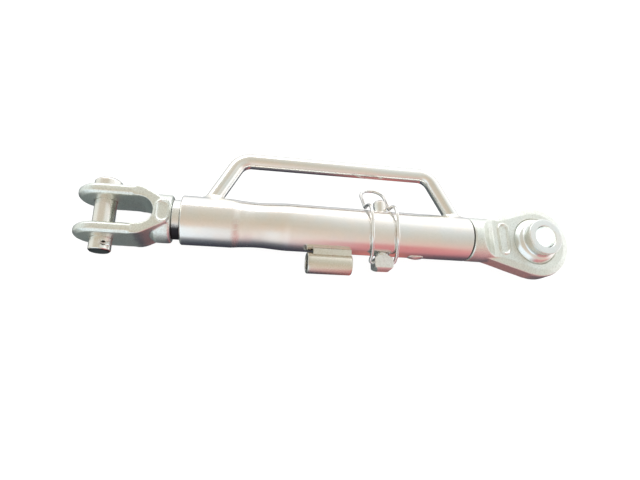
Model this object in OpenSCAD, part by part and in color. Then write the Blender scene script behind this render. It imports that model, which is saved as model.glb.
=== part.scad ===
// Telescopic turnbuckle link with a screwed clevis at one end and a ball eye at the other.
// Frame: X runs along the barrel from the clevis (-X) to the ball eye (+X), Y points to the
// carrying handle, Z is the axis of the ball's bore. Origin: centre of the ball. Lengths are
// laid out from the barrel end face on the eye side, and at_ball() moves them to the origin.
// Sizes in mm.

/* [Barrel] */
// outside diameter of the barrel tube
tube_od = 51.4; // [50.8:0.2:53]
// wall of the barrel tube
tube_wall = 6; // [5:0.5:6.5]
// length of the barrel tube
tube_len = 318.5; // [310:0.5:330]
// depth of the swaged zone on the radius
swage_depth = 1.5; // [0.5:0.1:2]

/* [Handle] */
// diameter of the bent handle rod
handle_rod_d = 16.8; // [14:0.2:18]
// centre-line bend radius of the handle
handle_bend = 20; // [14:1:24]
// height of the handle above the barrel axis at its clevis end
handle_h_left = 74.1; // [68:0.1:80]
// height of the handle above the barrel axis at its eye end
handle_h_right = 76.4; // [68:0.1:80]

/* [Clevis] */
// distance from the barrel end face to the clevis pin axis
clevis_pin_x = 393.2; // [390:0.2:396]
// clear width between the ears
fork_gap = 28; // [26:0.5:30]
// thickness of each ear
ear_t = 11.2; // [10:0.1:12.5]
// width of the ears
ear_w = 52; // [50:0.5:54]
// diameter of the clevis pin
clevis_pin_d = 21; // [19:0.1:22]
// diameter of the clevis hub
hub_d = 50; // [48:0.5:52]

/* [Screw] */
// outside diameter of the spindle thread
thread_d = 27; // [24:0.5:30]
// pitch of the spindle thread
thread_pitch = 3; // [2:0.5:4]
// travel of the clevis out of the barrel
clevis_travel = 60; // [40:1:60]

/* [Eye] */
// distance from the barrel end face to the ball centre
ball_x = 87.4; // [84:0.2:92]
// diameter of the ball
ball_d = 59.6; // [58:0.2:60]
// outside diameter of the ball hubs
ball_hub_d = 42; // [40:0.2:44]
// width of the ball over its hubs
ball_w = 61; // [56:0.5:64]
// bore of the ball
ball_bore = 25.7; // [24:0.1:28]
// outside diameter of the eye
eye_od = 85; // [83:0.5:90]
// thickness of the eye
eye_t = 23.6; // [22:0.2:26]
// diameter of the sliding shank
shank_d = 34; // [32:0.2:35]
// travel of the eye out of the barrel
eye_travel = 40; // [20:1:45]

/* [Lock pin] */
// distance from the barrel end face to the lock pin axis
lock_x = 101.8; // [98:0.2:106]
// diameter of the lock pin
lock_d = 14.9; // [13:0.1:16]
// diameter of the spring wire
wire_d = 3.6; // [3:0.1:4]
// sideways lean of the spring wire bow
wire_lean = 4.2; // [3:0.1:4.4]

/* [Hidden] */
$fn = 96;
tube_r = tube_od / 2;
bore_r = tube_r - tube_wall;
touch = 0.02;          // gap left between parts that are fitted or welded together
run_gap = 0.06;        // radial clearance of a turning fit
bushing_len = 58;
thread_depth = 1.4;
thread_r = thread_d / 2;
hub_end_x = -tube_len - 8.6;    // the hub stops short of the barrel by the lock ring
pin_r = clevis_pin_d / 2;
ear_in = fork_gap / 2;
ear_out = ear_in + ear_t;
fork_x = -clevis_pin_x;
root_x = fork_x + 35.2;         // middle of the round root of the fork
shank_r = shank_d / 2;
lock_r = lock_d / 2;
lock_cx = -lock_x;
wire_r = wire_d / 2;
eye_gap = 1.6;         // gap between the barrel and the eye when closed
grey = [0.78, 0.78, 0.76];
zinc = [0.82, 0.83, 0.82];
cast = [0.72, 0.72, 0.68];
weld = [0.66, 0.66, 0.64];
dark = [0.40, 0.41, 0.42];

// ---- helpers -------------------------------------------------------------

// moves what is laid out from the barrel end face so that the ball centre is the origin
module at_ball() {
    translate([-ball_x, 0, 0]) children();
}

// cylinder along X from x0 to x1
module cyl_x(x0, x1, r) {
    translate([x0, 0, 0]) rotate([0, 90, 0]) cylinder(h = x1 - x0, r = r);
}

// cylinder along Y from y0 to y1 through (x, z)
module cyl_y(x, z, y0, y1, r) {
    translate([x, y0, z]) rotate([-90, 0, 0]) cylinder(h = y1 - y0, r = r);
}

// solid of revolution about X: points are [x, radius]
module turned_x(pts) {
    rotate([90, 0, 90]) rotate_extrude() polygon([for (p = pts) [p[1], p[0]]]);
}

// solid of revolution about Y: points are [radius, y]
module turned_y(x, z, pts) {
    translate([x, 0, z]) rotate([-90, 0, 0]) rotate_extrude() polygon(pts);
}

function unit(v) = v / norm(v);

// one straight length of rod between two points
module rod_between(a, b, r) {
    d = b - a;
    tilt = acos(d[2] / norm(d));
    turn = atan2(d[1], d[0]);
    translate(a) rotate([0, tilt, turn]) cylinder(h = norm(d), r = r);
}

// trim length at a bend of radius rb between directions u and v
function trim(u, v, rb) = rb * tan(acos(min(1, u * v)) / 2);

// one bend of the rod at point p between directions u and v
module rod_bend(p, u, v, rb, r) {
    ang = acos(min(1, u * v));
    start = p - u * trim(u, v, rb);
    inward = unit(v - u * (u * v));
    centre = start + inward * rb;
    e1 = -inward;
    e3 = cross(e1, u);
    multmatrix([
        [e1[0], u[0], e3[0], centre[0]],
        [e1[1], u[1], e3[1], centre[1]],
        [e1[2], u[2], e3[2], centre[2]],
        [0, 0, 0, 1]
    ])
        rotate_extrude(angle = ang) translate([rb, 0]) circle(r = r + 0.02);
}

// round rod through the points pts with bend radii rb at the inner points;
// the straight lengths run a little way into the bends, which are a hair thicker
module rod_path(pts, rb, r) {
    n = len(pts);
    into = 0.15;
    dirs = [for (i = [0 : n - 2]) unit(pts[i + 1] - pts[i])];
    cuts = [for (i = [0 : n - 1])
        (i == 0 || i == n - 1) ? 0 : trim(dirs[i - 1], dirs[i], rb[i]) - into];
    for (i = [0 : n - 2])
        rod_between(pts[i] + dirs[i] * cuts[i], pts[i + 1] - dirs[i] * cuts[i + 1], r);
    for (i = [1 : n - 2])
        rod_bend(pts[i], dirs[i - 1], dirs[i], rb[i], r);
}

// ---- barrel --------------------------------------------------------------

// the swage: where it starts, is half deep, is deepest and ends
swage_x0 = -tube_len + 50;
swage_deep_x0 = swage_x0 + 10;
swage_deep_x1 = swage_x0 + 30;
swage_x1 = -tube_len + 112;
mouth_edge = 1.2;
end_edge = 0.8;
plug_x = -62;
plug_half = 4;
plug_r = 5.2;
plug_stands = 2.2;
guide_len = 82;

module barrel_tube() {
    color(zinc) at_ball() difference() {
        turned_x([
            [-tube_len, bore_r + 1],
            [-tube_len, tube_r - mouth_edge],
            [-tube_len + mouth_edge, tube_r],
            [swage_x0, tube_r],
            [swage_deep_x0, tube_r - swage_depth / 2],
            [swage_deep_x1, tube_r - swage_depth],
            [swage_x1, tube_r],
            [-end_edge, tube_r],
            [0, tube_r - end_edge],
            [0, bore_r],
            [-tube_len + 1, bore_r]
        ]);
        cyl_y(lock_cx, 0, -tube_od, tube_od, lock_r + run_gap);
        plug_slot(-tube_od, 0, touch);
    }
}

// stadium-shaped plug opening or plug on the underside of the tube
module plug_slot(y0, y1, grow) {
    for (s = [-1, 1])
        cyl_y(plug_x + s * plug_half, 0, y0, y1, plug_r + grow);
    translate([plug_x - plug_half, y0, -plug_r - grow])
        cube([2 * plug_half, y1 - y0, 2 * (plug_r + grow)]);
}

module guide_plug() {
    color(weld) at_ball() plug_slot(-tube_r - plug_stands, -bore_r - touch, 0);
}

module threaded_bush() {
    color(dark) at_ball() difference() {
        cyl_x(-tube_len + end_edge, -tube_len + bushing_len, bore_r - touch);
        cyl_x(-tube_len - 1, -tube_len + bushing_len + 1, thread_r + run_gap);
    }
}

module guide_bush() {
    color(dark) at_ball() difference() {
        cyl_x(-guide_len, -end_edge, bore_r - touch);
        cyl_x(-guide_len - 1, 1, shank_r + run_gap);
    }
}

// ---- handle --------------------------------------------------------------

handle_r = handle_rod_d / 2;
// where the middle of each foot meets the tube's surface
foot_x_left = -288;
foot_x_right = -12.6;
// slope of the handle legs in Y per X
leg_slope = 1.8;
handle_pts = [
    [foot_x_left - tube_r / leg_slope, 0, 0],
    [foot_x_left + (handle_h_left - tube_r) / leg_slope, handle_h_left, 0],
    [foot_x_right - (handle_h_right - tube_r) / leg_slope, handle_h_right, 0],
    [foot_x_right + tube_r / leg_slope, 0, 0]
];

module handle_rod() {
    color(zinc) at_ball() difference() {
        rod_path(handle_pts, [0, handle_bend, handle_bend, 0], handle_r);
        cyl_x(-tube_len, 30, tube_r + touch);
        translate([-tube_len, -60, -30]) cube([tube_len + 40, 60, 60]);
    }
}

// weld collar round one foot of the handle, sunk to the tube face
module foot_weld(x, lean) {
    h = 4.5;
    throat = 8;
    difference() {
        translate([x, 0, 0]) rotate([-90, 0, lean])
            cylinder(h = tube_r + h, r1 = handle_r + throat, r2 = handle_r + 0.8);
        cyl_x(-tube_len, 30, tube_r + touch);
        translate([-tube_len, -60, -30]) cube([tube_len + 60, 60, 60]);
        rod_path(handle_pts, [0, handle_bend, handle_bend, 0], handle_r + touch);
        translate([-0.2, -60, -30]) cube([40, 120, 60]);
    }
}

module handle_weld_left() {
    color(weld) at_ball() foot_weld(handle_pts[0][0], -atan(1 / leg_slope));
}

module handle_weld_right() {
    color(weld) at_ball() foot_weld(handle_pts[3][0], atan(1 / leg_slope));
}

// ---- parking sleeve ------------------------------------------------------

sleeve_x0 = -187;
sleeve_len = 49;
sleeve_r = 11.5;
sleeve_gap = 1.2;       // between the sleeve and the tube
sleeve_y = -tube_r - sleeve_r - sleeve_gap;
sleeve_bore_r = lock_r + 0.5;
plate_z0 = 2.5;
plate_z1 = 9.5;
plate_inset = 6;
seam_inset = 8;

module parking_sleeve() {
    color(zinc) at_ball() difference() {
        translate([0, sleeve_y, 0]) cyl_x(sleeve_x0, sleeve_x0 + sleeve_len, sleeve_r);
        translate([0, sleeve_y, 0]) cyl_x(sleeve_x0 - 1, sleeve_x0 + sleeve_len + 1, sleeve_bore_r);
    }
}

// bar that carries the sleeve on the tube
module parking_plate() {
    color(zinc) at_ball() difference() {
        translate([sleeve_x0 + plate_inset, -tube_r - 5.5, plate_z0])
            cube([sleeve_len - plate_inset - 1, 8, plate_z1 - plate_z0]);
        cyl_x(-tube_len, 0, tube_r + touch);
        translate([0, sleeve_y, 0]) cyl_x(sleeve_x0 - 1, sleeve_x0 + sleeve_len + 1, sleeve_r + touch);
    }
}

// bead behind the bar, between the sleeve and the tube
module parking_weld() {
    color(weld) at_ball() difference() {
        translate([sleeve_x0 + seam_inset, -tube_r - 4.5, -7])
            cube([sleeve_len - seam_inset - 3, 7, 7 + plate_z0 - touch]);
        cyl_x(-tube_len, 0, tube_r + touch);
        translate([0, sleeve_y, 0]) cyl_x(sleeve_x0 - 1, sleeve_x0 + sleeve_len + 1, sleeve_r + touch);
    }
}

// ---- screwed clevis ------------------------------------------------------

collar_r = 20.6;
collar_edge = 0.8;
collar_x0 = hub_end_x + 0.3;
collar_x1 = hub_end_x + 8.1;
spindle_end = -190;
stop_x = spindle_end - 8;
tenon_r = 9;

// loose lock ring that follows the hub
module lock_ring() {
    color(grey) at_ball() difference() {
        turned_x([
            [collar_x0, thread_r + 1], [collar_x0, collar_r - collar_edge],
            [collar_x0 + collar_edge, collar_r], [collar_x1 - collar_edge, collar_r],
            [collar_x1, collar_r - collar_edge], [collar_x1, thread_r + 1],
            [collar_x1 - 1, thread_r], [collar_x0 + 1, thread_r]
        ]);
        cyl_x(hub_end_x - 1, hub_end_x + 10, thread_r + run_gap);
    }
}

ring_n = floor((stop_x - hub_end_x - 14) / thread_pitch);
function groove(i) = let (x = hub_end_x + 12 + i * thread_pitch) [
    [x, thread_r],
    [x + thread_pitch / 2, thread_r - thread_depth],
    [x + thread_pitch, thread_r]
];

module threaded_spindle() {
    color(dark) at_ball() turned_x(concat(
        [[root_x + 12, 0], [root_x + 12, thread_r - 1.5], [root_x + 13.5, thread_r]],
        [for (i = [0 : ring_n - 1]) for (p = groove(i)) p],
        [[stop_x, thread_r], [stop_x, tenon_r], [spindle_end, tenon_r], [spindle_end, 0]]
    ));
}

// washer peened on the inner end of the spindle
module spindle_stop() {
    color(dark) at_ball() difference() {
        cyl_x(stop_x + touch, stop_x + 6, bore_r - 1.2);
        cyl_x(stop_x - 1, stop_x + 7, tenon_r + touch);
    }
}

ear_half = ear_w / 2;
edge = 3;
// the outside of each ear turns into the neck round a shoulder
shoulder_r = 24;
neck_drop = 12.2;       // how far the neck narrows on each side
neck_run = 22;          // length over which it narrows
neck_slope = atan(neck_drop / neck_run);
neck_corner_x = root_x + 2;
shoulder_cut = shoulder_r * tan(neck_slope / 2);
shoulder_x0 = neck_corner_x - shoulder_cut;
shoulder_x1 = neck_corner_x + shoulder_cut * cos(neck_slope);
shoulder_y1 = ear_out - shoulder_cut * sin(neck_slope);
neck_y = ear_out - neck_drop;
neck_x = neck_corner_x + neck_run;
neck_end_x = neck_x + 4;

module ear() {
    // rounded end about the pin axis
    turned_y(fork_x, 0, [
        [0, ear_in], [0, ear_out], [ear_half - edge, ear_out], [ear_half, ear_out - edge],
        [ear_half, ear_in + edge], [ear_half - edge, ear_in]
    ]);
    // straight part back to the shoulder
    translate([fork_x, 0, 0]) rotate([90, 0, 90])
        linear_extrude(height = shoulder_x0 - fork_x)
            polygon([
                [ear_in, -ear_half + edge], [ear_in + edge, -ear_half], [ear_out - edge, -ear_half],
                [ear_out, -ear_half + edge], [ear_out, ear_half - edge], [ear_out - edge, ear_half],
                [ear_in + edge, ear_half], [ear_in, ear_half - edge]
            ]);
}

// outline of the solid neck behind the fork, seen along the bore of the ball
module neck_outline() {
    overlap = 0.8;
    polygon([
        [shoulder_x0 - overlap, -ear_out], [shoulder_x0, -ear_out], [shoulder_x1, -shoulder_y1], [neck_x, -neck_y], [neck_end_x, -neck_y + 1.5],
        [neck_end_x, neck_y - 1.5], [neck_x, neck_y], [shoulder_x1, shoulder_y1],
        [shoulder_x0, ear_out], [shoulder_x0 - overlap, ear_out]
    ]);
}

// solid neck with its two rounded shoulders
module neck() {
    deep = 2 * ear_half - 1;
    translate([0, 0, -deep / 2]) linear_extrude(height = deep) neck_outline();
    for (s = [-1, 1]) intersection() {
        translate([shoulder_x0, s * (ear_out - shoulder_r), -deep / 2]) cylinder(h = deep, r = shoulder_r);
        translate([shoulder_x0, s > 0 ? ear_in : -ear_out - 1, -deep / 2])
            cube([shoulder_x1 - shoulder_x0, ear_out - ear_in + 1, deep]);
    }
}

module clevis_fork() {
    hub_r = hub_d / 2;
    color(cast) at_ball() difference() {
        union() {
            for (m = [0, 1]) mirror([0, m, 0]) ear();
            neck();
            turned_x([
                [root_x + 4, 0], [root_x + 10, hub_r - 6], [root_x + 15, hub_r],
                [hub_end_x - 1.5, hub_r], [hub_end_x, hub_r - 1.5], [hub_end_x, 0]
            ]);
            for (m = [0, 1]) mirror([0, 0, m]) oval_rim(neck_x - 0.8, ear_half + 0.6, 4.6, 6.6, 1);
        }
        translate([root_x, 0, -ear_half - 1]) cylinder(h = ear_w + 2, r = ear_in);
        translate([shoulder_x0 - 3, -ear_in, -ear_half - 1])
            cube([root_x - shoulder_x0 + 3, fork_gap, ear_w + 2]);
        cyl_y(fork_x, 0, -ear_out - 1, ear_out + 1, pin_r + run_gap);
        cyl_x(root_x + 11.8, hub_end_x + 1, thread_r + touch);
    }
}

// raised oval rim with its top at height top; half is half the length of its straight sides
module oval_rim(x, top, half, r_out, wide) {
    high = 2.6;
    r_in = r_out - wide;
    translate([x, 0, top - high]) difference() {
        union() {
            for (s = [-1, 1]) translate([0, s * half, 0]) cylinder(h = high, r = r_out);
            translate([-r_out, -half, 0]) cube([2 * r_out, 2 * half, high]);
        }
        for (s = [-1, 1]) translate([0, s * half, 0]) cylinder(h = 2 * high, r = r_in);
        translate([-r_in, -half, 0]) cube([2 * r_in, 2 * half, 2 * high]);
    }
}

// ---- clevis pin ----------------------------------------------------------

pin_bottom = -38.3;
cross_y = -31.6;
cross_angle = 30;
cotter_r = 2.4;

module clevis_pin() {
    head_r = 13.4;
    head_h = 12.6;
    tip_edge = 1.4;
    y0 = ear_out + 0.2;
    color(zinc) at_ball() difference() {
        union() {
            turned_y(fork_x, 0, [
                [0, y0], [head_r, y0], [head_r, y0 + head_h - 3],
                [head_r - 3.4, y0 + head_h], [0, y0 + head_h]
            ]);
            turned_y(fork_x, 0, [
                [0, pin_bottom], [pin_r - tip_edge, pin_bottom], [pin_r, pin_bottom + tip_edge],
                [pin_r, y0 + 1], [0, y0 + 1]
            ]);
        }
        translate([fork_x, cross_y, 0]) rotate([0, cross_angle, 0])
            cylinder(h = 40, r = cotter_r + touch, center = true);
    }
}

module split_pin() {
    ring = 3.6;
    wire = 1.2;
    behind = 17.6;
    front = 12.5;
    color(zinc) at_ball() translate([fork_x, cross_y, 0]) rotate([0, cross_angle, 0]) {
        translate([0, 0, -behind]) cylinder(h = behind + front, r = cotter_r - touch);
        translate([0, 0, -behind - ring - 0.4]) rotate([90, 0, 0])
            rotate_extrude() translate([ring, 0]) circle(r = wire);
        for (s = [-1, 1])
            rod_between([s * 1.1, 0, front - 0.3], [s * 7, 0.6, front + 3], 1.15);
    }
}

// ---- ball eye ------------------------------------------------------------

eye_r = eye_od / 2;
eye_half = eye_t / 2;
face_r = eye_r - 8;
eye_shift = 2.5;        // how far the round eye's middle lies beyond the ball's
tenon_end = 25;         // how far the shank's tenon reaches into the root
edge_z = 10;            // height of the eye's outer edge, a little below its flat face
flank = 0.30;           // slope of each side of the web in Y per X
web_x0 = 16;

// rim of the eye in section: points are [distance from the middle, height]
rim = [
    [face_r, -eye_half], [eye_r - 0.9, -edge_z], [eye_r, -edge_z + 2.5],
    [eye_r, edge_z - 2.5], [eye_r - 0.9, edge_z], [face_r, eye_half]
];

// tapering web between the round root and the round eye, with bevelled flanks that run a hair inside
// the rim of the eye
module web() {
    inset = 0.25;
    lean = atan(flank);
    side_r = eye_r - inset;
    touch_x = ball_x + eye_shift - side_r * sin(lean);
    touch_y = side_r * cos(lean);
    web_y = touch_y - (touch_x - web_x0) * flank;
    bevel_z = edge_z - 0.4;
    bevel = atan((side_r - face_r) / (eye_half - bevel_z));
    difference() {
        translate([0, 0, -eye_half]) linear_extrude(height = eye_t) polygon([
            [web_x0, -web_y], [touch_x, -touch_y], [touch_x + 8, -24], [touch_x + 8, 24],
            [touch_x, touch_y], [web_x0, web_y]
        ]);
        for (sy = [-1, 1]) for (sz = [-1, 1])
            translate([touch_x, sy * touch_y, sz * bevel_z]) rotate([0, 0, sy * lean])
                rotate([sy * sz * bevel, 0, 0])
                    translate([-90, sy > 0 ? 0 : -20, sz > 0 ? -1 : -29])
                        cube([120, 20, 30]);
    }
}

module eye_forging() {
    core_r = 20;
    color(cast) at_ball() difference() {
        union() {
            // round eye
            translate([ball_x + eye_shift, 0, 0]) rotate_extrude()
                polygon(concat([[core_r, -eye_half]], rim, [[core_r, eye_half]]));
            // tapering web
            web();
            // round root
            intersection() {
                turned_x([
                    [eye_gap, 0], [eye_gap, tube_r - 1], [eye_gap + 1, tube_r],
                    [40, tube_r], [40, 0]
                ]);
                root_profile();
            }
            for (m = [0, 1]) mirror([0, 0, m]) oval_rim(45.5, eye_half + 1, 12, 6.5, 1.2);
        }
        translate([ball_x, 0, 0]) sphere(r = ball_d / 2 + run_gap, $fn = 160);
        cyl_x(eye_gap - 1, tenon_end + 1, shank_r - 4 + touch);
    }
}

// side view of the root where the round shank runs out to the flat eye
module root_profile() {
    rotate([90, 0, 0]) linear_extrude(height = 80, center = true) polygon([
        [0, -30], [8, -30], [16, -22], [24, -16], [32, -eye_half], [41, -eye_half],
        [41, eye_half], [32, eye_half], [24, 16], [16, 22], [8, 30], [0, 30]
    ]);
}

// the shank's slot for the lock pin, as long as the travel
slot_half = lock_r + 0.15;
slot_x1 = lock_cx + 0.4;
slot_x0 = lock_cx - eye_travel - 0.4;
shank_end = slot_x0 - slot_half - 16;

module eye_shank() {
    color(grey) at_ball() difference() {
        union() {
            turned_x([
                [shank_end, 0], [shank_end, shank_r - 2], [shank_end + 2, shank_r],
                [eye_gap - touch, shank_r], [eye_gap - touch, 0]
            ]);
            cyl_x(-1, tenon_end, shank_r - 4);
        }
        for (x = [slot_x0, slot_x1]) cyl_y(x, 0, -40, 40, slot_half);
        translate([slot_x0, -40, -slot_half]) cube([slot_x1 - slot_x0, 80, 2 * slot_half]);
    }
}

ball_r = ball_d / 2;
ball_hub_r = ball_hub_d / 2;
neck_z = 18.6;          // height of the neck between the ball and each hub

module ball() {
    hz = ball_w / 2;
    hub_r = ball_hub_r;
    color(zinc) at_ball() translate([ball_x, 0, 0]) difference() {
        union() {
            intersection() {
                sphere(r = ball_r, $fn = 160);
                cube([80, 80, 2 * neck_z], center = true);
            }
            rotate_extrude() polygon([
                [10, -hz], [hub_r - 1, -hz], [hub_r, 1 - hz], [hub_r, -neck_z - 4.5],
                [hub_r - 1.4, -neck_z - 1], [hub_r + 0.4, 1 - neck_z], [hub_r + 0.4, neck_z - 1],
                [hub_r - 1.4, neck_z + 1], [hub_r, neck_z + 4.5], [hub_r, hz - 1], [hub_r - 1, hz],
                [10, hz]
            ]);
        }
        cylinder(h = 100, r = ball_bore / 2, center = true);
    }
}

// ---- lock pin ------------------------------------------------------------

lock_top = 38.6;
head_y0 = -44;
head_y1 = -tube_r - 0.4;
head_hx = 10.6;
head_hz = 8.4;
head_edge = 4;
sole_r = 13.3;          // the rounded under side
arch_r = 15.2;
tenon_deep = 4;
lock_tenon_r = 5;
pivot_y = -34;

module lock_pin_shank() {
    color(zinc) at_ball() turned_y(lock_cx, 0, [
        [0, head_y1 - tenon_deep], [lock_tenon_r, head_y1 - tenon_deep],
        [lock_tenon_r, head_y1 + touch], [lock_r, head_y1 + touch],
        [lock_r, lock_top - 2.4], [lock_r - 2, lock_top], [0, lock_top]
    ]);
}

module lock_pin_head() {
    color(cast) at_ball() difference() {
        intersection() {
            translate([lock_cx, 0, -head_hz]) linear_extrude(height = 2 * head_hz) polygon([
                [-head_hx + head_edge, head_y0], [head_hx - head_edge, head_y0],
                [head_hx, head_y0 + head_edge], [head_hx, head_y1 - 1],
                [-head_hx, head_y1 - 1], [-head_hx, head_y0 + head_edge]
            ]);
            translate([lock_cx, head_y1 - arch_r, -20]) cylinder(h = 40, r = arch_r);
            translate([0, head_y0 + sole_r, 0]) cyl_x(lock_cx - 20, lock_cx + 20, sole_r);
        }
        cyl_y(lock_cx, 0, head_y1 - tenon_deep - touch, 0, lock_tenon_r + touch);
        translate([0, pivot_y, 0]) cyl_x(lock_cx - 20, lock_cx + 20, wire_r + run_gap);
    }
}

wire_h = 14.2;
stand = tube_r + wire_r + 0.7;

// vertices of one side of the bow, s = -1 or 1, from the pivot to the crown
function bow(s) = [
    [lock_cx + s * 3, pivot_y, 0],
    [lock_cx + s * wire_h, pivot_y, 0],
    [lock_cx + s * wire_h, pivot_y + 6.4, 9.2],
    [lock_cx + s * wire_h - wire_lean, -14.4, stand],
    [lock_cx + s * wire_h - wire_lean, 29, stand],
    [lock_cx + s * wire_h - wire_lean, 29, 2],
    [lock_cx + s * wire_h - wire_lean, 60, -20]
];
bow_bends = [0, 3.2, 4, 15, 20, 3.5, 13.9];

module lock_wire() {
    a = bow(-1);
    b = bow(1);
    n = len(a);
    pts = concat(a, [for (i = [n - 1 : -1 : 0]) b[i]]);
    rb = concat(bow_bends, [for (i = [n - 1 : -1 : 0]) bow_bends[i]]);
    color(zinc) at_ball() rod_path(pts, rb, wire_r, $fn = 32);
}

// ---- nodes ---------------------------------------------------------------

barrel_tube();
threaded_bush();
guide_bush();
guide_plug();
handle_rod();
handle_weld_left();
handle_weld_right();
parking_sleeve();
parking_plate();
parking_weld();
lock_ring();
threaded_spindle();
spindle_stop();
clevis_fork();
clevis_pin();
split_pin();
eye_forging();
eye_shank();
ball();
lock_pin_shank();
lock_pin_head();
lock_wire();
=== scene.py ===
import math

import bmesh
import bpy
import numpy as np
from mathutils import Matrix, Vector, noise


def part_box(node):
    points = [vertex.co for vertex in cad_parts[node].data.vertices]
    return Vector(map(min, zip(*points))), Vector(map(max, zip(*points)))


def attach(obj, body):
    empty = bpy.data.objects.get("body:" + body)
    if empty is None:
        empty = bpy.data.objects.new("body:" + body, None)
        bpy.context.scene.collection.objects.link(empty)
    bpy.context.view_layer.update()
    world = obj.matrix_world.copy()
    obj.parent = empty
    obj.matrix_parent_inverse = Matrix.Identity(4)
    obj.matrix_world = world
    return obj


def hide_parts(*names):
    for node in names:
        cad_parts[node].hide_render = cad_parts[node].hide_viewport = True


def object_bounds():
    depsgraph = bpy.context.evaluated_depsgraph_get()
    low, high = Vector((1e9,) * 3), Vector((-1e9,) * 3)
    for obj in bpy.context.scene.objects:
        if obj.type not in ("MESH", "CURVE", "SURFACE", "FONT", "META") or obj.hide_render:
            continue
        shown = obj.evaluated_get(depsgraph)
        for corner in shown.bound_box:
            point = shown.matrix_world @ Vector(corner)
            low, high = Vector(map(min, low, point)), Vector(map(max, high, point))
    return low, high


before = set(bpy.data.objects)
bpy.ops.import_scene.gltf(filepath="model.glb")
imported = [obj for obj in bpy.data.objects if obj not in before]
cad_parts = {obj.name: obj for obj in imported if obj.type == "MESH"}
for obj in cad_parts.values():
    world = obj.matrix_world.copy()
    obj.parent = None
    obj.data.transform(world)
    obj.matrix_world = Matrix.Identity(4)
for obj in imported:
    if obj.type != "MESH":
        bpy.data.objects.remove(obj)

# Lengths in this script are millimetres in the row frame; to_object() turns them into metres.
MM = 0.001
NARROW = 1e-6  # a radius below this lies on the axis
cad_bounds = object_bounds()


def span(node):
    """Lowest and highest corner of a CAD node, in mm."""
    lo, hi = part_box(node)
    return np.array(lo) / MM, np.array(hi) / MM


def unit(v):
    return np.asarray(v, float) / np.linalg.norm(v)


# ---- measures, most of them taken from the frame -------------------------------------------

SKIN = 0.05      # how far the visual tube's outside lies under the CAD's
BORE_GAP = 0.06  # play left round a pin or a ball in its seat
tube_lo, tube_hi = span("barrel_tube")
tube_r = tube_hi[1]
tube_x0, tube_x1 = tube_lo[0], tube_hi[0]
bush_r = span("guide_bush")[1][1]
pin_lo, pin_hi = span("clevis_pin")
pin_x = (pin_lo[0] + pin_hi[0]) / 2
fork_lo, fork_hi = span("clevis_fork")
lock_lo, lock_hi = span("lock_pin_shank")
lock_x = (lock_lo[0] + lock_hi[0]) / 2
lock_r = (lock_hi[0] - lock_lo[0]) / 2
ball_hi = span("ball")[1]
ball_r = ball_hi[0]
floor_z = min(cad_bounds[0].z / MM, cad_bounds[1].z / MM)
far = 60.0  # cutters reach this far beyond the barrel
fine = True


# ---- mesh tools ----------------------------------------------------------------------------


def linked(name, data):
    """A new object in the scene."""
    obj = bpy.data.objects.new(name, data)
    bpy.context.scene.collection.objects.link(obj)
    return obj


def to_object(name, points, faces, sharp=38.0):
    """A smooth-shaded mesh object from points in mm, with edges sharper than sharp degrees kept crisp."""
    mesh = bpy.data.meshes.new(name)
    mesh.from_pydata((np.asarray(points, float) * MM).tolist(), [], [list(f) for f in faces])
    mesh.validate()
    bm = bmesh.new()
    bm.from_mesh(mesh)
    bmesh.ops.recalc_face_normals(bm, faces=bm.faces)
    bm.to_mesh(mesh)
    bm.free()
    obj = linked(name, mesh)
    soften(obj, sharp)
    return obj


def soften(obj, sharp=38.0):
    """Smooth shading with edges sharper than sharp degrees kept crisp."""
    obj.data.shade_smooth()
    obj.data.set_sharp_from_angle(angle=math.radians(sharp))


def apply(obj):
    """Applies obj's modifiers to its mesh."""
    graph = bpy.context.evaluated_depsgraph_get()
    made = bpy.data.meshes.new_from_object(obj.evaluated_get(graph))
    obj.modifiers.clear()
    old = obj.data
    obj.data = made
    bpy.data.meshes.remove(old)
    return obj


def carve(obj, tools):
    """Cuts each tool out of obj and removes the tools."""
    for tool in tools:
        m = obj.modifiers.new("cut", "BOOLEAN")
        m.object, m.operation, m.solver = tool, "DIFFERENCE", "MANIFOLD"
    apply(obj)
    for tool in tools:
        bpy.data.objects.remove(tool)
    return obj


def rounded(corners):
    """Outline points of a closed polygon whose corners (x, y, radius) become arcs."""
    steps = 5               # of each arc
    almost_straight = 1.56  # half the angle of a corner that is left alone
    most = 0.48             # share of a side that one arc may take
    out = []
    for i, (x, y, r) in enumerate(corners):
        p = np.array((x, y), float)
        a = np.array(corners[i - 1][:2]) - p
        b = np.array(corners[(i + 1) % len(corners)][:2]) - p
        la, lb = np.linalg.norm(a), np.linalg.norm(b)
        a, b = a / la, b / lb
        half = math.acos(np.clip(a @ b, -1, 1)) / 2
        if r <= 0 or half > almost_straight:
            out.append(p)
            continue
        t = min(r / math.tan(half), most * la, most * lb)
        r = t * math.tan(half)
        centre = p + unit(a + b) * r / math.sin(half)
        s, e = p + a * t - centre, p + b * t - centre
        whole = math.acos(np.clip(unit(s) @ unit(e), -1, 1))
        for k in range(steps + 1):
            f = k / steps
            out.append(centre + (s * math.sin((1 - f) * whole) + e * math.sin(f * whole)) / math.sin(whole))
    return np.array(out)


def thin_out(points, gap):
    """Adds points so that no step of the closed outline is longer than gap."""
    out = []
    for i, p in enumerate(points):
        q = points[(i + 1) % len(points)]
        n = max(1, math.ceil(np.linalg.norm(q - p) / gap))
        out += [p + (q - p) * k / n for k in range(n)]
    return np.array(out)


def around(axis, centre, along, radius, angle):
    """Points at radius and angle about an axis through centre."""
    u, v = {"x": ((0, 1, 0), (0, 0, 1)), "y": ((0, 0, 1), (1, 0, 0)), "z": ((1, 0, 0), (0, 1, 0))}[axis]
    w = np.cross(u, v)
    along, radius, angle = np.broadcast_arrays(along, radius, angle)
    return (np.asarray(centre, float) + along[..., None] * w
            + (radius * np.cos(angle))[..., None] * np.array(u, float)
            + (radius * np.sin(angle))[..., None] * np.array(v, float))


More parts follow.
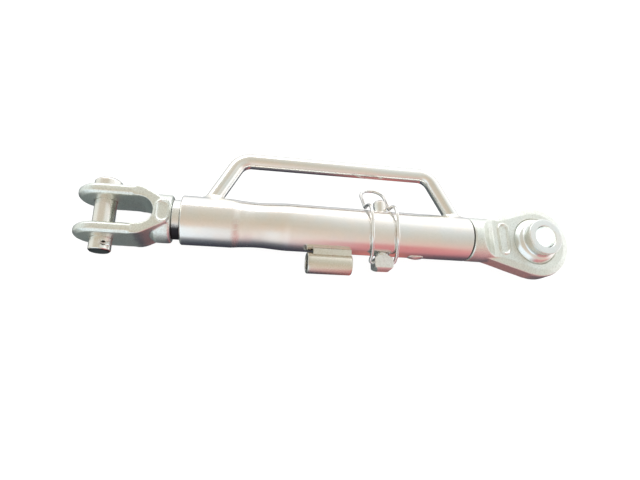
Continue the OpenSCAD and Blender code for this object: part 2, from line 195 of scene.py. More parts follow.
def grid_faces(rows, cols, close_rows=False, close_cols=True):
    """Quads of a rows x cols grid of points."""
    out = []
    for i in range(rows if close_rows else rows - 1):
        for j in range(cols if close_cols else cols - 1):
            k, m = (i + 1) % rows, (j + 1) % cols
            out.append((i * cols + j, i * cols + m, k * cols + m, k * cols + j))
    return out


def turned(name, outline, axis, centre=(0, 0, 0), parts=96, shift=None):
    """Solid of revolution from (along, radius) points. One that touches the axis starts and ends there."""
    outline = np.asarray(outline, float)
    solid = outline[0][1] < NARROW and outline[-1][1] < NARROW
    ring = outline[1:-1] if solid else outline
    angle = np.linspace(0, 2 * np.pi, parts, endpoint=False)
    radius = np.repeat(ring[:, 1:2], parts, 1)
    if shift is not None:
        radius = radius + shift(ring[:, 0:1], angle[None, :], radius)
    points = around(axis, centre, ring[:, 0:1], radius, angle[None, :]).reshape(-1, 3)
    faces = grid_faces(len(ring), parts, close_rows=not solid)
    if solid:
        ends = around(axis, centre, outline[[0, -1], 0], np.zeros(2), np.zeros(2))
        points = np.vstack([points, ends])
        a, b = len(points) - 2, len(points) - 1
        last = (len(ring) - 1) * parts
        for j in range(parts):
            faces.append((a, (j + 1) % parts, j))
            faces.append((b, last + j, last + (j + 1) % parts))
    return to_object(name, points, faces)


def bar(axis, centre, lo, hi, r, parts=64):
    """A plain cutter cylinder."""
    return turned("cutter", [(lo, 0), (lo, r), (hi, r), (hi, 0)], axis, centre, parts)


def path_of(points, bends, step=1.2):
    """Points along a polyline whose inner corners are arcs of the given radii."""
    pts = [np.array(p, float) for p in points]
    dirs = [unit(b - a) for a, b in zip(pts, pts[1:])]
    out, last = [], pts[0]
    for i in range(1, len(pts) - 1):
        u, v = dirs[i - 1], dirs[i]
        turn = math.acos(np.clip(u @ v, -1, 1))
        cut = bends[i] * math.tan(turn / 2)
        start = pts[i] - u * cut
        n = max(1, round(np.linalg.norm(start - last) / step))
        out += [last + (start - last) * k / n for k in range(n)]
        inward = unit(v - u * (u @ v))
        centre = start + inward * bends[i]
        n = max(4, round(bends[i] * turn / step))
        out += [centre - inward * bends[i] * math.cos(turn * k / n) + u * bends[i] * math.sin(turn * k / n)
                for k in range(n)]
        last = pts[i] + v * cut
    n = max(1, round(np.linalg.norm(pts[-1] - last) / step))
    out += [last + (pts[-1] - last) * k / n for k in range(n + 1)]
    return np.array(out)


def swept(name, path, section, up=(0, 0, 1)):
    """A section (m, 2) carried along a path without twist, with small rounded ends."""
    path = np.asarray(path, float)
    n = len(path)
    tangents = np.array([unit(path[min(i + 1, n - 1)] - path[max(i - 1, 0)]) for i in range(n)])
    side = unit(np.cross(tangents[0], up))
    rings = []
    for i in range(n):
        side = unit(side - tangents[i] * (side @ tangents[i]))
        other = np.cross(tangents[i], side)
        rings.append(path[i] + (section[:, 0:1] * side + section[:, 1:2] * other))
    m = len(section)
    shrink = 0.72  # the end rings' size
    reach = np.abs(section).max() * 0.35
    first = path[0] + (rings[0] - path[0]) * shrink - tangents[0] * reach
    final = path[-1] + (rings[-1] - path[-1]) * shrink + tangents[-1] * reach
    rings = [first] + rings + [final]
    faces = grid_faces(len(rings), m)
    faces.append(tuple(range(m)))
    faces.append(tuple((len(rings) - 1) * m + j for j in range(m)))
    return to_object(name, np.vstack(rings), faces)


def circle(r, parts):
    """A round section."""
    a = np.linspace(0, 2 * np.pi, parts, endpoint=False)
    return np.stack([r * np.cos(a), r * np.sin(a)], 1)


def forged(name, node, fillers=(), voxel=0.6, rounds=20):
    """A softened copy of a CAD solid: filled where it will be bored again, remeshed and smoothed."""
    bm = bmesh.new()
    bm.from_mesh(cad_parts[node].data)
    for f in fillers:
        bm.from_mesh(f.data)
        bpy.data.objects.remove(f)
    mesh = bpy.data.meshes.new(name)
    bm.to_mesh(mesh)
    bm.free()
    obj = linked(name, mesh)
    m = obj.modifiers.new("grid", "REMESH")
    m.mode, m.voxel_size = "VOXEL", voxel * MM * (1.0 if fine else 1.5)
    s = obj.modifiers.new("soft", "SMOOTH")
    s.factor, s.iterations = 0.5, round(rounds if fine else rounds / 2)
    apply(obj)
    obj.data.shade_smooth()
    return obj


def shape(obj, move):
    """Moves each vertex of obj by move(points, normals), all in mm."""
    mesh = obj.data
    co = np.zeros(len(mesh.vertices) * 3)
    mesh.vertices.foreach_get("co", co)
    no = np.zeros(len(mesh.vertices) * 3)
    mesh.vertices.foreach_get("normal", no)
    p, n = co.reshape(-1, 3) / MM, no.reshape(-1, 3)
    mesh.vertices.foreach_set("co", (move(p, n) * MM).ravel())
    mesh.update()
    return obj


def rough(points, size, seed):
    """Smooth noise from -1 to 1 at points, with lumps of the given size in mm."""
    at = Vector((seed * 7.31, seed * 3.17, seed * 5.77))
    return np.array([noise.noise(Vector(p) / size + at) for p in points])


def lumpy(obj, height, size, seed):
    """Raises and sinks obj's skin by up to height, in lumps of the given size."""
    return shape(obj, lambda p, n: p + n * (height * rough(p, size, seed))[:, None])


def bead(p, n, middle_x, half, radius, height, width, face_z):
    """Raises a soft bead along an upright stadium outline on the faces at +-Z."""
    x = p[:, 0] - middle_x
    y = np.abs(p[:, 1]) - half
    d = np.hypot(x, np.maximum(y, 0)) - radius
    lift = height * np.exp(-(d / width) ** 2)
    floor = 0.45 * height / (1 + np.exp((d + 0.4 * width) / (0.35 * width)))
    level = np.clip((np.abs(p[:, 2]) - face_z + 3.0) / 2.0, 0, 1)
    on_face = level * np.clip((np.abs(n[:, 2]) - 0.5) / 0.3, 0, 1)
    out = p.copy()
    out[:, 2] += np.sign(p[:, 2]) * on_face * (lift - floor)
    return out


# ---- materials -----------------------------------------------------------------------------


class Graph:
    """Small helper for building node trees."""

    def __init__(self, tree):
        self.tree = tree
        tree.nodes.clear()

    def add(self, kind, inputs=(), **settings):
        """A new shader node; inputs holds linked sockets and plain values."""
        n = self.tree.nodes.new("ShaderNode" + kind)
        for k, v in settings.items():
            setattr(n, k, v)
        for k, v in dict(inputs).items():
            if isinstance(v, bpy.types.NodeSocket):
                self.tree.links.new(v, n.inputs[k])
            else:
                n.inputs[k].default_value = v
        return n

    def noise(self, vector, size, detail=3.0, rough=0.55):
        """Noise output from 0 to 1 with features of the given size in mm."""
        n = self.add("TexNoise", {"Vector": vector, "Scale": 1.0 / (size * MM), "Detail": detail,
                                  "Roughness": rough})
        return n.outputs["Fac"]

    def stretch(self, vector, scale):
        return self.add("Mapping", {"Vector": vector, "Scale": scale}).outputs[0]

    def ramp(self, value, lo, hi):
        """Smooth step from 0 at lo to 1 at hi."""
        n = self.add("MapRange", {"Value": value, "From Min": lo, "From Max": hi},
                     interpolation_type="SMOOTHSTEP")
        return n.outputs[0]

    def line(self, value, lo, hi, a=0.0, b=1.0):
        """Straight step from a at lo to b at hi."""
        n = self.add("MapRange", {"Value": value, "From Min": lo, "From Max": hi, "To Min": a, "To Max": b})
        return n.outputs[0]

    def maths(self, how, a, b=0.0):
        return self.add("Math", {0: a, 1: b}, operation=how).outputs[0]

    def mix(self, fac, a, b, how="MIX"):
        n = self.tree.nodes.new("ShaderNodeMix")
        n.data_type, n.blend_type = "RGBA", how
        for i, v in ((0, fac), (6, a), (7, b)):
            if isinstance(v, bpy.types.NodeSocket):
                self.tree.links.new(v, n.inputs[i])
            elif i == 0:
                n.inputs[i].default_value = v
            else:
                n.inputs[i].default_value = (*v, 1.0) if len(v) == 3 else v
        return n.outputs[2]

    def surface(self, shader):
        """Makes shader the material's output."""
        self.add("OutputMaterial", {"Surface": shader.outputs[0]})


def new_material(name):
    """An empty node material and its graph."""
    mat = bpy.data.materials.new(name)
    mat.use_nodes = True
    return mat, Graph(mat.node_tree)


def plated(name, base, rough_at=0.3, grain=0.0, grain_size=0.7, marks=None, mark_depth=0.0, mark_size=0.4,
           tints=((0.86, 0.78, 0.70), (0.72, 0.78, 0.72), (0.84, 0.74, 0.73)), tint_by=0.35,
           wear=0.5, grime_and_shade=0.35, scratch=0.3, patchy=0.12, extra=None):
    """Bright zinc plate. Fine tool marks run along the axes where the scale triple marks is low."""
    mat, g = new_material(name)
    at = g.add("TexCoord").outputs["Object"]
    tint_size = 26.0  # mm
    wide = g.noise(at, tint_size, 2.0)
    second = g.noise(g.stretch(at, (1.3, 0.8, 1.0)), tint_size * 0.45, 3.0)
    fleck = g.noise(at, 1.4, 4.0, 0.65)
    colour = g.mix(g.ramp(wide, 0.38, 0.62), base, tuple(0.5 * b + 0.5 * t for b, t in zip(base, tints[0])))
    colour = g.mix(g.maths("MULTIPLY", g.ramp(second, 0.45, 0.75), tint_by), colour, tints[1])
    colour = g.mix(g.maths("MULTIPLY", g.ramp(second, 0.5, 0.22), tint_by), colour, tints[2])
    flecked = g.mix(g.line(fleck, 0.3, 0.7), tuple(0.8 * b for b in base), (0.93, 0.93, 0.92))
    colour = g.mix(0.5, colour, flecked, "SOFT_LIGHT")
    clouds = g.noise(at, 9.0, 4.0, 0.6)
    gloss = g.line(clouds, 0.3, 0.7, rough_at * (1 - patchy), rough_at * (1 + patchy))
    edge = g.ramp(g.add("NewGeometry").outputs["Pointiness"], 0.515, 0.58)
    chips = g.maths("MULTIPLY", edge, g.ramp(g.noise(at, 2.4, 4.0, 0.7), 0.35, 0.6))
    colour = g.mix(g.maths("MULTIPLY", chips, wear), colour, (0.93, 0.92, 0.89))
    # Darker in hollows, where pointiness is low: painted shade, with some grime in the creases.
    hollow = g.ramp(g.add("NewGeometry").outputs["Pointiness"], 0.49, 0.43)
    soot_and_shade = g.maths("MULTIPLY", hollow, g.ramp(g.noise(at, 5.0, 4.0, 0.7), 0.25, 0.6))
    colour = g.mix(g.maths("MULTIPLY", soot_and_shade, grime_and_shade), colour, (0.23, 0.21, 0.19))
    gloss = g.maths("ADD", gloss, g.maths("MULTIPLY", soot_and_shade, 0.2))
    bump = None

    def add_bump(height, depth, before):
        n = g.add("Bump", {"Height": height, "Distance": depth * MM, "Strength": 1.0})
        if before is not None:
            g.tree.links.new(before, n.inputs["Normal"])
        return n.outputs[0]

    if grain:
        pits = g.noise(at, grain_size, 3.0, 0.6)
        bump = add_bump(pits, grain, bump)
        colour = g.mix(g.line(pits, 0.38, 0.55, 0.3, 0.0), colour, (0.42, 0.41, 0.38))
        gloss = g.maths("ADD", gloss, g.line(pits, 0.35, 0.65, 0.08, -0.04))
    if marks is not None:
        fine_marks = g.noise(g.stretch(at, marks), mark_size, 3.0, 0.6)
        bump = add_bump(fine_marks, mark_depth, bump)
        gloss = g.maths("ADD", gloss, g.line(fine_marks, 0.3, 0.7, -0.05, 0.05))
    if scratch:
        for turn, size in ((0.5, 0.9), (-0.9, 0.7)):
            turned_at = g.add("Mapping", {"Vector": at, "Rotation": (turn, turn * 0.6, turn)}).outputs[0]
            lines = g.noise(g.stretch(turned_at, (0.05, 1.0, 1.0)), size, 1.0, 0.4)
            hair = g.ramp(g.maths("ABSOLUTE", g.maths("SUBTRACT", lines, 0.5)), 0.012, 0.0)
            thin = g.maths("MULTIPLY", hair, g.ramp(g.noise(at, 16.0, 2.0), 0.55, 0.7))
            gloss = g.maths("ADD", gloss, g.maths("MULTIPLY", thin, 0.25 * scratch))
            colour = g.mix(g.maths("MULTIPLY", thin, scratch), colour, (0.55, 0.54, 0.52))
    if extra is not None:
        colour, gloss = extra(g, at, colour, gloss)
    inputs = {"Base Color": colour, "Metallic": 1.0, "Roughness": gloss}
    if bump is not None:
        inputs["Normal"] = bump
    g.surface(g.add("BsdfPrincipled", inputs))
    return mat


def paint(obj, mat):
    """Gives obj one material."""
    obj.data.materials.clear()
    obj.data.materials.append(mat)
    return obj


def near(g, value, middle, half):
    """1 close to the middle value (mm), falling to 0 over half on either side."""
    away = g.maths("ABSOLUTE", g.maths("SUBTRACT", value, middle * MM))
    return g.ramp(away, half * MM, 0.0)


def tube_marks(g, at, colour, gloss):
    """A rubbed ring with a trace of red rust near the clevis end and a brighter worn ring past the swage."""
    way = g.add("SeparateXYZ", {"Vector": at})
    x, y = way.outputs[0], way.outputs[1]
    low = g.ramp(y, 0.0, -0.4 * tube_r * MM)
    ragged = g.ramp(g.noise(at, 3.0, 4.0, 0.7), 0.25, 0.6)
    rust = g.maths("MULTIPLY", near(g, x, tube_x0 + 54.7, 5.5), g.maths("MULTIPLY", low, ragged))
    colour = g.mix(g.maths("MULTIPLY", rust, 0.5), colour, (0.66, 0.40, 0.36))
    worn = g.maths("MULTIPLY", near(g, x, tube_x0 + 108, 6.0), low)
    colour = g.mix(g.maths("MULTIPLY", worn, 0.4), colour, (0.95, 0.96, 0.97))
    return colour, g.maths("ADD", gloss, g.maths("MULTIPLY", rust, 0.15))


def ring_front_shade(g, at, colour, gloss):
    """Painted black shade on the lower (-Y) side of the lock ring, where the hub and the tube shade it."""
    way = g.add("SeparateXYZ", {"Vector": at})
    streak = g.maths("MULTIPLY", g.noise(at, 2.0, 4.0, 0.7), 0.004)
    black = g.ramp(g.maths("ADD", way.outputs[1], streak), -0.007, -0.013)
    return g.mix(black, colour, (0.035, 0.035, 0.04)), g.maths("ADD", gloss, g.maths("MULTIPLY", black, 0.25))


def pin_grease(g, at, colour, gloss):
    """Black grease on the lower end face of the clevis pin."""
    y = g.add("SeparateXYZ", {"Vector": at}).outputs[1]
    black = g.ramp(y, (pin_lo[1] + 1.2) * MM, (pin_lo[1] + 0.5) * MM)
    return g.mix(black, colour, (0.04, 0.04, 0.045)), gloss


tube_zinc = plated("tube_zinc", (0.79, 0.785, 0.765), 0.19, marks=(0.25, 1, 1), mark_depth=0.0012,
                   mark_size=0.8, tint_by=0.14, scratch=0.35, patchy=0.06, extra=tube_marks)
rod_zinc = plated("rod_zinc", (0.77, 0.78, 0.75), 0.2, marks=(0.1, 1, 1), mark_depth=0.0012, mark_size=0.8,
                  tint_by=0.2)
# A darker copy of the zinc for the sleeve and its plate: the darker base is painted shade from the tube
# beside them.
shaded_sleeve_zinc = plated("shaded_sleeve_zinc", (0.66, 0.64, 0.59), 0.24, marks=(1, 0.2, 0.2), mark_depth=0.0015,
                     tints=((0.72, 0.68, 0.55), (0.64, 0.66, 0.58), (0.72, 0.60, 0.57)), tint_by=0.25)
forging_zinc = plated("forging_zinc", (0.77, 0.81, 0.77), 0.34, grain=0.11, grain_size=1.5,
                      tints=((0.80, 0.81, 0.72), (0.72, 0.82, 0.77), (0.81, 0.79, 0.76)), tint_by=0.25,
                      wear=0.55, grime_and_shade=0.5, scratch=0.1)
head_zinc = plated("head_zinc", (0.80, 0.79, 0.76), 0.34, grain=0.05, grain_size=1.3, tint_by=0.25, wear=0.6,
                   grime_and_shade=0.5, scratch=0.1)
turned_zinc = plated("turned_zinc", (0.78, 0.78, 0.75), 0.24, marks=(0.15, 1, 0.15), mark_depth=0.003,
                     mark_size=0.6, wear=0.6)
pin_zinc = plated("pin_zinc", (0.76, 0.755, 0.70), 0.24, marks=(0.15, 1, 0.15), mark_depth=0.003,
                  mark_size=0.6, wear=0.6, extra=pin_grease)
ring_zinc = plated("ring_zinc", (0.80, 0.82, 0.83), 0.26, marks=(1, 0.12, 0.12), mark_depth=0.004,
                   mark_size=0.6, extra=ring_front_shade)
ball_zinc = plated("ball_zinc", (0.77, 0.80, 0.79), 0.22, marks=(0.1, 0.1, 1), mark_depth=0.002,
                   mark_size=0.6, tint_by=0.12, wear=0.4, patchy=0.06)
wire_zinc = plated("wire_zinc", (0.86, 0.87, 0.86), 0.24, grain=0.004, grain_size=0.6, tint_by=0.15,
                   scratch=0.2)
weld_zinc = plated("weld_zinc", (0.76, 0.765, 0.73), 0.32, grain=0.03, grain_size=1.1, tint_by=0.3)
bare_steel = plated("bare_steel", (0.46, 0.455, 0.45), 0.34, marks=(1, 0.1, 0.1), mark_depth=0.004,
                    mark_size=0.5, tint_by=0.3,
                    tints=((0.48, 0.45, 0.40), (0.42, 0.44, 0.44), (0.5, 0.44, 0.40)))


def place(obj, mat, body, slot, *nodes):
    """Paints obj, lets it ride on body and stand for the CAD nodes."""
    paint(obj, mat)
    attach(obj, body)
    if nodes:
        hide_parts(*nodes)
    return obj


# ---- barrel --------------------------------------------------------------------------------

# the pressed-in zone, as distances from the tube's clevis end
swage_at, swage_in, swage_deep, swage_end = 50.0, 60.0, 80.0, 112.0
swage_depth = tube_r - 24.2


def ease(t):
    """Smooth step from 0 at t = 0 to 1 at t = 1."""
    t = np.clip(t, 0, 1)
    return t * t * (3 - 2 * t)


def swage(x):
    """How far the tube is pressed in at distance x from its clevis end."""
    first = ease((x - swage_at) / (swage_in - swage_at))
    second = ease((x - swage_in + 5) / (swage_deep - swage_in))
    pressed = 0.45 * first + 0.55 * second
    return swage_depth * pressed * (1 - ease((x - swage_deep) / (swage_end - swage_deep)))


def tube_shift(x, angle, radius):
    """Press marks of the swage and a little waviness, on the outside only."""
    d = x - tube_x0
    outside = radius > tube_r - 3
    press_at, press_reach, jaws = 71, 16, 8
    facets = 0.07 * np.cos(jaws * angle + 0.4) * np.exp(-((d - press_at) / press_reach) ** 2)
    wave = 0.03 * np.sin(d / 11.0 + 1.3) * np.cos(angle * 2 + d / 60)
    return np.where(outside, facets + wave, 0.0)


def block(lo, hi):
    """A plain box cutter between two corners."""
    (a, b, c), (d, e, f) = lo, hi
    pts = [(a, b, c), (d, b, c), (d, e, c), (a, e, c), (a, b, f), (d, b, f), (d, e, f), (a, e, f)]
    faces = [(0, 1, 2, 3), (4, 5, 6, 7), (0, 1, 5, 4), (1, 2, 6, 5), (2, 3, 7, 6), (3, 0, 4, 7)]
    return to_object("cutter", pts, faces)


def make_tube():
    """The tube with its two turned ends, the lock pin's hole and the slot of the plug weld."""
    out_r = tube_r - SKIN
    in_r = bush_r + 0.02
    mouth, tail = tube_x0 + 2.4, tube_x1 - 1.8
    outer_x = np.arange(mouth, tail, 1.4)
    outer = np.stack([outer_x, out_r - swage(outer_x - tube_x0)], 1)
    left = rounded([(tube_x0 + 1, in_r, 0), (tube_x0, bush_r + 1.1, 0.2), (tube_x0, tube_r - 1.25, 0.5),
                    (tube_x0 + 1.2, out_r, 0.6), (mouth, out_r, 0)])
    right = rounded([(tail, out_r, 0), (tube_x1 - 0.7, out_r, 0.5), (tube_x1, tube_r - 0.8, 0.4),
                     (tube_x1, bush_r + 0.5, 0.3), (tube_x1 - 0.5, in_r, 0)])
    outline = np.vstack([left[:-1], outer, right[1:]])
    obj = turned("tube_shell", outline, "x", parts=144 if fine else 96, shift=tube_shift)
    hole_r = lock_r + BORE_GAP
    hole = bar("y", (lock_x, 0, 0), -far, far, hole_r)
    rims = []
    for s in (-1, 1):
        sunk, proud = s * (tube_r - 0.9), s * (tube_r + 1.1)
        rims.append(turned("cutter", [(sunk, 0), (sunk, hole_r), (proud, lock_r + 1.6), (proud, 0)], "y",
                           (lock_x, 0, 0), 64))
    slot_lo, slot_hi = span("guide_plug")
    r = (slot_hi[2] - slot_lo[2]) / 2 + 0.02
    x0, x1 = slot_lo[0] + r, slot_hi[0] - r
    stadium = [bar("y", (x, 0, 0), -far, 0, r) for x in (x0, x1)]
    carve(obj, [hole] + rims + stadium + [block((x0, -far, -r), (x1, 0, r))])
    soften(obj)
    return obj


place(make_tube(), tube_zinc, "barrel", "zinc_tube", "barrel_tube")

# ---- handle and its welds ------------------------------------------------------------------

rod_lo, rod_hi = span("handle_rod")
rod_r = (rod_hi[2] - rod_lo[2]) / 2 - 0.02
leg_slope, rod_bend = 1.8, 20.0
top_right = rod_hi[1] - rod_r
top_left = top_right - 2.3
foot_left, foot_right = tube_x0 + 30.5, tube_x1 - 12.6
leg_left = unit((1, leg_slope, 0))
leg_right = unit((-1, leg_slope, 0))
rod_points = [(foot_left - tube_r / leg_slope, 0, 0),
              (foot_left + (top_left - tube_r) / leg_slope, top_left, 0),
              (foot_right - (top_right - tube_r) / leg_slope, top_right, 0),
              (foot_right + tube_r / leg_slope, 0, 0)]
rod_path = path_of(rod_points, [0, rod_bend, rod_bend, 0], 2.0)
rod = swept("carry_handle", rod_path, circle(rod_r, 40))
carve(rod, [bar("x", (0, 0, 0), tube_x0 - far, tube_x1 + far, tube_r - 1.4, 96)])
soften(rod)
place(rod, rod_zinc, "barrel", "zinc_rod", "handle_rod")


def make_weld(name, foot, leg, seed):
    """A fillet weld round one foot of the handle, from the rod's skin down to the tube's."""
    parts, rows = (120, 9) if fine else (72, 7)
    seat = np.array([foot, tube_r, 0])
    side = unit(np.cross(leg, (0, 0, 1)))
    points = []
    for j in range(parts):
        a = 2 * np.pi * j / parts
        radial = side * math.cos(a) + np.array((0, 0, 1)) * math.sin(a)
        skin = seat + radial * rod_r
        t = 0.0
        for _ in range(40):  # slide along the rod until the point meets the tube's surface
            q = skin + leg * t
            t -= (math.hypot(q[1], q[2]) - tube_r) / leg[1]
        meet = skin + leg * t
        normal = unit((0, meet[1], meet[2]))
        outward = unit(radial - normal * (radial @ normal))
        ripple = 0.5 * math.sin(a * 17 + 2 * math.sin(a * 2 + seed))
        ripple = ripple + rough([(6 * math.cos(a), 6 * math.sin(a), 0)], 2.0, seed)[0]
        up = 4.3 + 0.35 * ripple   # reach of the bead along the rod
        out = 4.6 + 0.4 * ripple   # and along the tube
        end = meet + outward * out
        end[0] = np.clip(end[0], tube_x0 + 0.4, tube_x1 - 0.5)
        angle = math.atan2(end[2], end[1])
        end = np.array([end[0], math.cos(angle) * tube_r, math.sin(angle) * tube_r])
        top = meet + leg * up
        belly = meet + (outward + normal) * (0.75 + 0.16 * ripple)
        ring = [meet - normal * 1.0 - radial * 1.0, top - radial * 0.8]
        skin_top, skin_end = top - radial * 0.08, end - normal * 0.06
        for k in range(rows):
            f = k / (rows - 1)
            ring.append((1 - f) ** 2 * skin_top + 2 * f * (1 - f) * belly + f * f * skin_end)
        ring.append(end - normal * 0.8)
        points.append(ring)
    cols = len(points[0])
    return to_object(name, np.array(points).reshape(-1, 3), grid_faces(parts, cols, True, True), 50)


left_weld = make_weld("weld_foot_left", foot_left, leg_left, 1)
place(left_weld, weld_zinc, "barrel", "weld_bead", "handle_weld_left")
right_weld = make_weld("weld_foot_right", foot_right, leg_right, 2)
place(right_weld, weld_zinc, "barrel", "weld_bead", "handle_weld_right")

# ---- parking sleeve ------------------------------------------------------------------------

sleeve_lo, sleeve_hi = span("parking_sleeve")
sleeve_r = (sleeve_hi[2] - sleeve_lo[2]) / 2
sleeve_y = (sleeve_lo[1] + sleeve_hi[1]) / 2
sleeve_bore = lock_r + 0.5


def short_tube(x0, x1, outside, inside, outer_round, bevel, bevel_round, gap):
    """Outline of a short tube with rounded outer edges and bevelled inner ones."""
    corners = [(x0, inside + bevel, bevel_round), (x0, outside, outer_round), (x1, outside, outer_round),
               (x1, inside + bevel, bevel_round), (x1 - bevel, inside, 0.2), (x0 + bevel, inside, 0.2)]
    return thin_out(rounded(corners), gap)


sleeve_outline = short_tube(sleeve_lo[0], sleeve_hi[0], sleeve_r, sleeve_bore, 1.3, 0.6, 0.3, 2.5)
sleeve = turned("rest_sleeve", sleeve_outline, "x", (0, sleeve_y, 0), 88)
place(sleeve, shaded_sleeve_zinc, "barrel", "zinc_sleeve", "parking_sleeve")

plate = forged("rest_plate", "parking_plate", voxel=0.3, rounds=6)
place(lumpy(plate, 0.06, 4.0, 3), shaded_sleeve_zinc, "barrel", "zinc_sleeve", "parking_plate")

seam = forged("rest_weld", "parking_weld", voxel=0.3, rounds=14)
seam_lo = span("parking_weld")[0]
ripple_pitch = 3.1


def ripples(p, n):
    """The scales of a weld bead, on the side that shows."""
    scale = np.sin((p[:, 0] + 0.12 * (p[:, 2] - seam_lo[2]) ** 2) * 2 * np.pi / ripple_pitch)
    free = np.clip(-n[:, 2], 0, 1)
    return p + n * ((0.25 * scale + 0.2 * rough(p, 3.0, 5) - 0.25) * free)[:, None]


place(shape(seam, ripples), weld_zinc, "barrel", "weld_bead", "parking_weld")

plug_lo, plug_hi = span("guide_plug")
plug = forged("plug_weld", "guide_plug", voxel=0.3, rounds=12)


def crowned(p, _):
    """Draws the plug's face in towards its rim so that it stands up as a bead."""
    across = (p - (plug_lo + plug_hi) / 2) / ((plug_hi - plug_lo) / 2)
    away = np.clip(across[:, 0] ** 2 + across[:, 2] ** 2, 0, 1)
    out = p.copy()
    face = np.clip((plug_lo[1] + 4 - p[:, 1]) / 2, 0, 1)
    fall, rise = 1.9, 0.1  # of the rim and of the middle
    out[:, 1] += face * (fall * away - rise)
    return np.clip(out, plug_lo, plug_hi)


shape(plug, crowned)
place(lumpy(plug, 0.12, 2.6, 8), weld_zinc, "barrel", "weld_bead", "guide_plug")

# ---- lock ring and spindle -----------------------------------------------------------------

ring_lo, ring_hi = span("lock_ring")
spindle_lo, spindle_hi = span("threaded_spindle")
thread_r = spindle_hi[2]
ring_outline = short_tube(ring_lo[0], ring_hi[0], ring_hi[2], thread_r + 0.1, 0.9, 0.8, 0.2, 1.5)
ring = turned("jam_ring", ring_outline, "x")
place(ring, ring_zinc, "ring", "zinc_turned", "lock_ring")

pitch, thread_depth = 3.0, 1.5
stop_lo = span("spindle_stop")[0]


def make_spindle():
    """The spindle with a real right-hand thread, plain under the clevis and turned down at the washer."""
    parts = 72 if fine else 48
    x0, x1 = spindle_lo[0], stop_lo[0] - 0.02
    end_x, tenon_r = spindle_hi[0], 9.0
    thread_from, thread_to = fork_hi[0] + 0.6, x1 - 1.2
    xs = np.concatenate([[x0, x0 + 1.4], np.arange(x0 + 4, thread_from, 4.0),
                         np.arange(thread_from, thread_to, pitch / 12), [x1 - 0.6]])
    angle = np.linspace(0, 2 * np.pi, parts, endpoint=False)
    phase = (xs[:, None] / pitch - angle[None, :] / (2 * np.pi)) % 1.0
    groove = np.clip(1.15 - np.abs(phase - 0.5) * 2 * 1.55, 0, 1) ** 0.85
    fade = np.clip((xs - thread_from) / 3, 0, 1) * np.clip((thread_to - xs) / 2, 0, 1)
    radius = thread_r - 0.02 - thread_depth * groove * fade[:, None]
    radius[0] = thread_r - 1.4
    rows = [around("x", (0, 0, 0), xs[:, None], radius, angle[None, :])]
    tail = np.array([(x1 - 0.6, thread_r - 0.9), (x1, thread_r - 1.4), (x1, 9.3), (x1 + 0.2, tenon_r),
                     (end_x - 0.8, tenon_r), (end_x, 8.2)])
    rows.append(around("x", (0, 0, 0), tail[:, 0:1], tail[:, 1:2], angle[None, :]))
    pts = np.vstack([r.reshape(-1, 3) for r in rows])
    n = len(pts) // parts
    faces = grid_faces(n, parts)
    pts = np.vstack([pts, [(x0, 0, 0), (end_x, 0, 0)]])
    last = (n - 1) * parts
    for j in range(parts):
        faces.append((n * parts, (j + 1) % parts, j))
        faces.append((n * parts + 1, last + j, last + (j + 1) % parts))
    return to_object("screw_spindle", pts, faces, 50)


place(make_spindle(), bare_steel, "clevis", "dark_steel", "threaded_spindle")

# ---- clevis --------------------------------------------------------------------------------

head_r = (pin_hi[0] - pin_lo[0]) / 2
shaft_r = head_r - 2.9
ear_out = fork_hi[1]
ear_in = ear_out - 11.2
hub_x = fork_hi[0]
fillers = [bar("y", (pin_x, 0, 0), s * (ear_in + 0.4), s * (ear_out - 0.4), shaft_r + 1.5) for s in (-1, 1)]
clevis = forged("fork_forging", "clevis_fork", fillers, voxel=0.6, rounds=34)
lumpy(clevis, 0.16, 9.0, 11)
lumpy(clevis, 0.05, 2.6, 12)
oval_x = pin_x + 35.2 + 23.2  # behind the root of the gap
shape(clevis, lambda p, n: bead(p, n, oval_x, 4.6, 6.1, 0.7, 0.7, fork_hi[2] - 0.6))
shape(clevis, lambda p, n: np.clip(p, fork_lo + 0.03, fork_hi - 0.03))


def bore_cutter(axis, centre, lo, hi, r, edge):
    """A cutter that leaves small countersunk edges at lo and hi."""
    over = 6
    return turned("cutter", [(lo - over, 0), (lo - over, r + edge + over), (lo + edge, r), (hi - edge, r),
                             (hi + over, r + edge + over), (hi + over, 0)], axis, centre, 72)


ear_bore, ear_edge = shaft_r + 0.08, 0.7
carve(clevis, [bore_cutter("y", (pin_x, 0, 0), ear_in, ear_out - 0.1, ear_bore, ear_edge),
               bore_cutter("y", (pin_x, 0, 0), -ear_out + 0.1, -ear_in, ear_bore, ear_edge),
               bar("x", (0, 0, 0), spindle_lo[0] - 0.1, hub_x + 2, thread_r + 0.02)])
soften(clevis, 42)
place(clevis, forging_zinc, "clevis", "zinc_forging", "clevis_fork")

# ---- clevis pin and split pin --------------------------------------------------------------

head_y0 = ear_out + 0.2


def to_axis(outline, end):
    """The rounded outline of a solid pin, whose last point lies on the axis at end."""
    return thin_out(rounded(outline), 3.0)[:-1].tolist() + [(end, 0.0)]


pin_outline = to_axis([
    (pin_lo[1], 0, 0), (pin_lo[1], shaft_r - 1.5, 0.4), (pin_lo[1] + 1.5, shaft_r, 0.5),
    (head_y0, shaft_r, 0.3), (head_y0, head_r, 0.7), (pin_hi[1] - 3.2, head_r, 1.6),
    (pin_hi[1] - 0.5, head_r - 3.3, 2.2), (pin_hi[1], head_r - 7.0, 1.0), (pin_hi[1], 0, 0)], pin_hi[1])
pin = turned("headed_pin", pin_outline, "y", (pin_x, 0, 0), 96)
cross_y, cross_turn = -31.6, math.radians(30)
cross_dir = np.array((math.sin(cross_turn), 0, math.cos(cross_turn)))
cross_at = np.array((pin_x, cross_y, 0))
cross_cut = np.array([cross_at - cross_dir * 20, cross_at, cross_at + cross_dir * 20])
carve(pin, [swept("cutter", cross_cut, circle(2.5, 32), up=(0, 1, 0))])
soften(pin)
place(pin, pin_zinc, "fork_pin", "zinc_turned", "clevis_pin")


